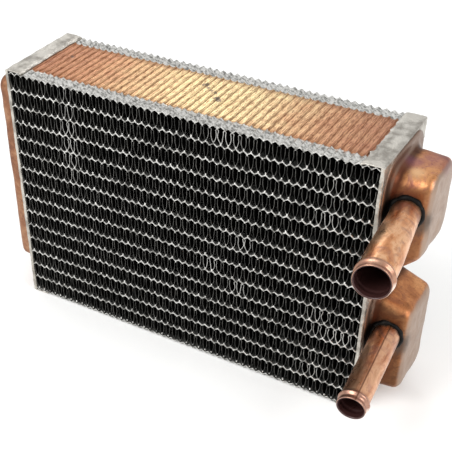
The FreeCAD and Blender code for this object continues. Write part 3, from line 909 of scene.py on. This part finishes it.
def tank_profile(length, foot_height, edge_radius, crown):
    """Stations from the foot to the middle of the end: distance from the header,
    how much of the flare is left, how far the edge has turned in, and the scale of
    the end's closing rings.  The foot lies flat on the header for half its width and
    then turns up in a quarter of an ellipse."""
    turn = np.linspace(0, np.pi / 2, 9)
    foot_x = FOOT_RIM + foot_height * (1 - np.cos(turn))
    wall_x = np.linspace(FOOT_RIM + foot_height, length - edge_radius, 14)[1:]
    edge_x = length - edge_radius + edge_radius * np.sin(turn[1:])
    shrink = np.array([0.92, 0.8, 0.65, 0.48, 0.3, 0.15, 0.02])
    end_x = length + crown * (1 - shrink ** 2)
    x = np.concatenate([[0.0, FOOT_RIM / 2, FOOT_RIM], foot_x, wall_x, edge_x, end_x])
    flare = np.concatenate([[1.0, 1.0, 0.94], FLARE_LEFT * (1 - np.sin(turn)), 0 * wall_x,
        0 * edge_x, 0 * end_x])
    turned = edge_radius * (1 - np.cos(turn[1:]))
    inset = np.concatenate([[0.0, 0.0, 0.0], 0 * foot_x, 0 * wall_x, turned,
        np.full_like(end_x, edge_radius)])
    scale = np.concatenate([np.ones(len(x) - len(shrink)), shrink])
    return x, flare, inset, scale


def tank_points(shape, seed):
    """Grid of a tank that stands out along +X, its outside then its inside."""
    length = shape["length"]
    x, flare, inset, scale = tank_profile(length, shape["foot_height"], shape["edge_radius"], 0.35)
    share = np.clip(x / length, 0, 1)
    layers = []
    for wall in (0.0, shape["wall"]):
        half_y = shape["half_y"][0] + (shape["half_y"][1] - shape["half_y"][0]) * share
        low = shape["low"][0] + (shape["low"][1] - shape["low"][0]) * share
        high = shape["high"][0] + (shape["high"][1] - shape["high"][0]) * share
        half_y = half_y + shape["flare_side"] * flare - inset - wall
        low = low - shape["flare_low"] * flare + inset + wall
        high = high + shape["flare_high"] * flare - inset - wall
        centre = (low + high) / 2
        half_y, low, high = half_y * scale, centre + (low - centre) * scale, centre + (high
            - centre) * scale
        spread = 4.0 * flare - inset * 0.6
        y, z = rounded_loops(half_y, low, high, np.maximum(shape["corner"] + spread, 2.0) * scale,
            np.maximum(shape["top_corner"] + spread, 2.0) * scale)
        layer = np.empty(y.shape + (3,))
        out = np.where(x > wall, x - wall, 0.0) if wall else x
        layer[..., 0] = (half_width + out)[:, None]
        layer[..., 1] = y
        layer[..., 2] = z
        layers.append(layer)
    outside, inside = layers
    dents = 0.22 * ripple(outside, 22.0, seed) + 0.07 * ripple(outside, 8.0, seed + 1)
    fade = np.clip((x - 0.5) / 4.0, 0, 1)[:, None] * np.clip(scale * 4 - 0.1, 0, 1)[:, None]
    outside = outside - grid_normals(outside) * (dents * fade)[..., None]
    return np.concatenate([outside, inside[::-1]])


# %% The three tanks' shapes
SHORT_TANK = {"length": 22.1, "foot_height": 3.8, "edge_radius": 4.2, "wall": 0.9, "corner": 6.5,
    "top_corner": 6.5, "half_y": (21.5, 18.6), "flare_side": 7.5}
UPPER_TANK = SHORT_TANK | {"low": (88.5, 108.5), "high": (155.8, 155.8), "flare_low": 4.0,
    "flare_high": 7.5, "top_corner": 10.5}
LOWER_TANK = SHORT_TANK | {"low": (13.5, 13.5), "high": (77.5, 71.0), "flare_low": 7.5,
    "flare_high": 4.0}
RETURN_TANK = SHORT_TANK | {"length": 19.0, "low": (16.0, 16.0), "high": (150.5, 150.5),
    "flare_low": 7.5, "flare_high": 7.5}


def tank_faces(rows, columns):
    """Faces of the tank's grid.  Outside and inside are each closed by their smallest
    ring, so the two skins are joined only at the foot."""
    half = rows // 2
    faces = grid_faces(rows, columns, True)
    bridge = faces[:, 0] // columns == half - 1
    faces = faces[~bridge].tolist()
    faces.append(list(range((half - 1) * columns, half * columns)))
    faces.append(list(range(half * columns, (half + 1) * columns)))
    foot = np.arange(columns)
    last = (rows - 1) * columns + foot
    following = np.roll(foot, -1)
    faces += np.stack([foot, last, (rows - 1) * columns + following, following], axis=1).tolist()
    return faces


def make_tank(name, node, shape, side, material, seed):
    grid = tank_points(shape, seed)
    grid[..., 0] *= side
    tank = make_piece(name, grid, tank_faces(*grid.shape[:2]), material, sharp=60.0)
    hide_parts(node)
    return tank


upper_tank = make_tank("upper_tank_shell", "upper_tank", UPPER_TANK, 1, upper_tank_copper, 71)
lower_tank = make_tank("lower_tank_shell", "lower_tank", LOWER_TANK, 1, lower_tank_copper, 73)
return_tank = make_tank("return_tank_shell", "return_tank", RETURN_TANK, -1, return_tank_copper, 75)
print("tanks made, faces each:", len(upper_tank.data.polygons))

# %% [markdown]
# ## The hose tubes
#
# A tube is a profile turned round its axis: outside from the root to the mouth, over
# the lip and back along the bore.  A rolled bead near the mouth keeps the hose on.
# The upper tube was swelled from its root to a wider end.  Its UV map holds the
# distance along it and the angle round it, for the drawing lines and the seam.

# %% Turned surfaces


def axes_of(direction):
    """Two unit vectors square to direction and to each other, the second upwards."""
    level = np.cross(direction, [0.0, 0.0, 1.0])
    level /= np.linalg.norm(level)
    return level, np.cross(level, direction)


def turned_points(root, direction, along, radius, count=72):
    """Grid of a profile (distance along the axis, radius) turned round its axis."""
    level, upright = axes_of(direction)
    angle = np.linspace(0, 2 * np.pi, count, endpoint=False)
    ring = np.cos(angle)[:, None] * level + np.sin(angle)[:, None] * upright
    return root + along[:, None, None] * direction + radius[:, None, None] * ring


def tube_profile(length, root_radius, hose_radius, cone, wall=0.8):
    """Outside and bore of a tube.  The bead and the rolled lip are smooth bumps."""
    along = np.concatenate([np.linspace(-3.0, length - 9, 24),
        np.linspace(length - 8.7, length - 0.4, 34)])
    share = np.clip((along - cone[0]) / (cone[1] - cone[0]), 0, 1)
    body = root_radius + (hose_radius - root_radius) * share
    bead = 0.95 * np.exp(-np.abs((along - (length - 4.9)) / 1.15) ** 2.4)
    groove = -0.22 * np.exp(-((along - (length - 2.6)) / 0.8) ** 2)
    lip = 0.28 * np.exp(-((along - (length - 0.7)) / 0.7) ** 2)
    outside = body + bead + groove + lip
    turn = np.linspace(0, np.pi, 7)
    middle = outside[-1] - wall / 2
    lip_along = length - 0.4 + 0.4 * np.sin(turn)
    lip_radius = middle + wall / 2 * np.cos(turn)
    inside = (body - wall + 0.5 * bead)[::-1]
    return (np.concatenate([along, lip_along[1:-1], along[::-1]]),
        np.concatenate([outside, lip_radius[1:-1], inside]))


def make_tube(name, node, root, direction, length, root_radius, hose_radius, cone, material, seed):
    along, radius = tube_profile(length, root_radius, hose_radius, cone)
    grid = turned_points(root, direction, along, radius)
    uneven = 0.07 * ripple(grid, 14.0, seed)
    outer = np.arange(len(along)) < len(along) // 2
    grid = grid + ((grid - (root + along[:, None, None] * direction)) / radius[:, None, None]
        * (uneven * outer[:, None])[..., None])
    rows, columns = grid.shape[:2]
    faces = grid_faces(rows, columns, True).tolist()
    first = np.arange(columns)
    last = (rows - 1) * columns + first
    faces += np.stack([first, last, np.roll(last, -1), np.roll(first, -1)], axis=1).tolist()
    around = np.arange(columns)[None, :] / columns + np.where(outer, 0.0, 2.0)[:, None]
    uv = np.stack(np.broadcast_arrays(along[:, None] * MM, around), axis=-1)
    tube = make_piece(name, grid, faces, material, uv=uv, sharp=60.0)
    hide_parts(node)
    return tube


upper_tube = make_tube("upper_tube", "upper_hose_tube", upper_root, upper_axis, upper_length,
    ROOT_RADIUS, HOSE_RADIUS, (8.0, 42.0), upper_tube_copper, 81)
lower_tube = make_tube("lower_tube", "lower_hose_tube", lower_root, lower_axis, lower_length,
    ROOT_RADIUS, ROOT_RADIUS, (0.0, 1.0), lower_tube_copper, 83)
print("tubes made, faces each:", len(upper_tube.data.polygons))

# %% [markdown]
# A tube goes through a round hole in its tank's front wall.  A Boolean modifier cuts
# the hole with a plain cylinder, and its result becomes the tank's own mesh.

# %% Cut the tube holes


def cut_hole(tank, root, direction, radius):
    """Takes a cylinder along a tube's axis out of a tank."""
    along = np.array([-7.0, 10.0])
    grid = turned_points(root, direction, along, np.array([radius, radius]), 48)
    cutter = make_piece("hole_cutter", grid, hose_faces(*grid.shape[:2]), tank.data.materials[0])
    modifier = tank.modifiers.new("tube_hole", "BOOLEAN")
    modifier.operation = "DIFFERENCE"
    modifier.object = cutter
    modifier.solver = "EXACT"
    bpy.context.view_layer.update()
    evaluated = tank.evaluated_get(bpy.context.evaluated_depsgraph_get())
    drilled = bpy.data.meshes.new_from_object(evaluated)
    tank.modifiers.clear()
    tank.data = drilled
    bpy.data.objects.remove(cutter)


HOLE_RADIUS = 7.8
cut_hole(upper_tank, upper_root, upper_axis, HOLE_RADIUS)
cut_hole(lower_tank, lower_root, lower_axis, HOLE_RADIUS)
print("faces after the cut:", len(upper_tank.data.polygons), len(lower_tank.data.polygons))

# %% [markdown]
# ## Solder round the tube roots
#
# The joint between tube and tank was made by hand: a ring of solder with burnt, black
# flux on it.  It follows the line where the tube's cylinder meets the leaning wall,
# so that line is found first, and then a fat, uneven ring is laid along it.

# %% Material: burnt flux


def flux_material():
    """Black, glassy flux over solder, with a little grey showing through."""
    material, tree = new_material("burnt_flux")
    place = add_node(tree, "TexCoord").outputs["Object"]
    cloud = add_node(tree, "TexNoise", {"Vector": place, "Scale": 1 / (3 * MM), "Detail": 4.0})
    colour = add_node(tree, "ValToRGB", {"Fac": cloud})
    set_ramp(colour, [(0.42, "#060505"), (0.64, "#100E0C"), (0.8, "#34302B")])
    surface = {"Base Color": colour, "Metallic": 0.0, "Roughness": 0.5, "Specular IOR Level": 0.12}
    close_material(tree, surface, cloud, 0.6, 0.3 * MM)
    return material


burnt_flux = flux_material()

# %% Lay the rings
RING_LINE = 8.2  # radius of the ring's middle line round the tube
RING_SIZE = 1.7  # radius of the ring itself


def wall_depth(shape, x):
    """How far forward the tank's front wall stands at x, counting its flared foot."""
    out = x - half_width
    share = np.clip(out / shape["length"], 0, 1)
    wall = shape["half_y"][0] + (shape["half_y"][1] - shape["half_y"][0]) * share
    turn = np.clip((out - FOOT_RIM) / shape["foot_height"], 0, 1)
    foot = FLARE_LEFT * shape["flare_side"] * (1 - np.sqrt(np.clip(1 - (1 - turn) ** 2, 0, 1)))
    edge = shape["edge_radius"]
    over = np.clip((out - (shape["length"] - edge)) / edge, 0, 1)
    return wall + foot - edge * (1 - np.sqrt(np.clip(1 - over ** 2, 0, 1)))


def root_ring(root, direction, tank_shape, tube_radius, ring_radius, seed, count=64):
    """Grid of a ring: at each angle round the tube, slide along the axis until the
    point lies on the tank's front wall, then put a small uneven circle there."""
    level, upright = axes_of(direction)
    angle = np.linspace(0, 2 * np.pi, count, endpoint=False)
    outward = np.cos(angle)[:, None] * level + np.sin(angle)[:, None] * upright
    slide = np.zeros(count)
    for _ in range(12):
        point = root + tube_radius * outward + slide[:, None] * direction
        slide = slide + (-wall_depth(tank_shape, point[:, 0]) - point[:, 1]) / direction[1]
    point = root + tube_radius * outward + slide[:, None] * direction
    turn = np.linspace(0, 2 * np.pi, 12, endpoint=False)
    size = ring_radius * (1 + 0.35 * ripple(point, 5.0, seed))
    offset = (np.cos(turn)[None, :, None] * outward[:, None, :] + np.sin(turn)[None, :, None]
        * direction)
    return point[:, None, :] + offset * size[:, None, None]


def ring_faces(rows, columns):
    """Faces of a grid that is closed both ways."""
    row, column = np.meshgrid(np.arange(rows), np.arange(columns), indexing="ij")
    next_row, next_column = (row + 1) % rows, (column + 1) % columns
    corners = [row * columns + column, row * columns + next_column]
    corners += [next_row * columns + next_column, next_row * columns + column]
    return np.stack(corners, axis=-1).reshape(-1, 4).tolist()


for name, root, direction, shape, seed in (("upper", upper_root, upper_axis, UPPER_TANK, 91),
        ("lower", lower_root, lower_axis, LOWER_TANK, 93)):
    grid = root_ring(root, direction, shape, RING_LINE, RING_SIZE, seed)
    ring = make_piece(f"{name}_root_solder", grid, ring_faces(*grid.shape[:2]), burnt_flux)
print("root rings made")

# %% [markdown]
# ## Floor, light and camera
#
# A plain pale floor and large soft lights show metal best, because a metal's look is
# mostly what it reflects.  A weak light behind the core puts a gloss on the middle
# of the top strip.  The floor lies a hair under the part, so that no lump of solder
# pokes through it.  The camera looks down on the front left of the tubes with a long
# lens.

# %% Floor


def floor_material():
    """Matt white paper."""
    material, tree = new_material("matt_white_paper")
    place = add_node(tree, "TexCoord").outputs["Object"]
    cloud = add_node(tree, "TexNoise", {"Vector": place, "Scale": 3.0, "Detail": 2.0})
    colour = add_node(tree, "ValToRGB", {"Fac": cloud})
    set_ramp(colour, [(0.3, "#F4F4F3"), (0.7, "#F7F7F6")])
    close_material(tree, {"Base Color": colour, "Roughness": 0.9})
    return material


FLOOR_HALF = 4.0  # metres
FLOOR_HEIGHT = -0.3 * MM  # just under the lowest lump of solder
signs = ((-1, -1), (1, -1), (1, 1), (-1, 1))
corners = [(x * FLOOR_HALF, y * FLOOR_HALF, FLOOR_HEIGHT) for x, y in signs]
floor_mesh = bpy.data.meshes.new("floor")
floor_mesh.from_pydata(corners, [], [(0, 1, 2, 3)])
floor_mesh.materials.append(floor_material())
floor = bpy.data.objects.new("floor", floor_mesh)
bpy.context.scene.collection.objects.link(floor)

# %% Lights
world = bpy.data.worlds.new("soft_studio")
world.use_nodes = True
sky = world.node_tree.nodes["Background"].inputs
sky["Color"].default_value = (1.0, 1.0, 1.0, 1.0)
sky["Strength"].default_value = 0.85
bpy.context.scene.world = world


def placed(columns, place):
    """A world matrix from three axes, given as the columns of an array, and a place."""
    matrix = np.eye(4)
    matrix[:3, :3] = columns
    matrix[:3, 3] = place
    return mathutils.Matrix(matrix.tolist())


def soft_light(name, place, target, size, watts):
    """A square area light that faces a target."""
    light = bpy.data.lights.new(name, "AREA")
    light.size = size
    light.energy = watts
    lamp = bpy.data.objects.new(name, light)
    aim = np.array(target) - np.array(place)
    aim /= np.linalg.norm(aim)
    level, upright = axes_of(aim)
    columns = np.stack([level, upright, -aim], axis=1)
    lamp.matrix_world = placed(columns, place)
    bpy.context.scene.collection.objects.link(lamp)


soft_light("key", (-0.35, -0.75, 0.95), (0.0, 0.0, 0.08), 0.6, 9.0)
soft_light("fill", (0.9, -0.1, 0.6), (0.1, 0.0, 0.1), 0.5, 4.0)
soft_light("back", (-0.5, 0.8, 0.9), (0.0, 0.0, 0.165), 0.35, 1.2)

# %% Camera
turn_left, look_down, roll = np.radians([32.195, 38.092, -1.512])
forward = np.array([-math.sin(turn_left) * math.cos(look_down),
    math.cos(turn_left) * math.cos(look_down), -math.sin(look_down)])
rightward = np.array([math.cos(turn_left), math.sin(turn_left), 0.0])
upward = np.cross(rightward, forward)
camera_x = math.cos(roll) * rightward + math.sin(roll) * upward
camera_y = -math.sin(roll) * rightward + math.cos(roll) * upward
camera_place = np.array([239.2, -425.5, 399.8]) * MM
columns = np.stack([camera_x, camera_y, -forward], axis=1)
lens = bpy.data.cameras.new("camera")
lens.lens = 74.6
lens.sensor_width = 36.0
lens.shift_x = 0.1304
lens.shift_y = 0.1589
lens.clip_start = 0.01
camera = bpy.data.objects.new("camera", lens)
camera.matrix_world = placed(columns, camera_place)
bpy.context.scene.collection.objects.link(camera)
bpy.context.scene.camera = camera
bpy.context.scene.view_settings.view_transform = "Standard"
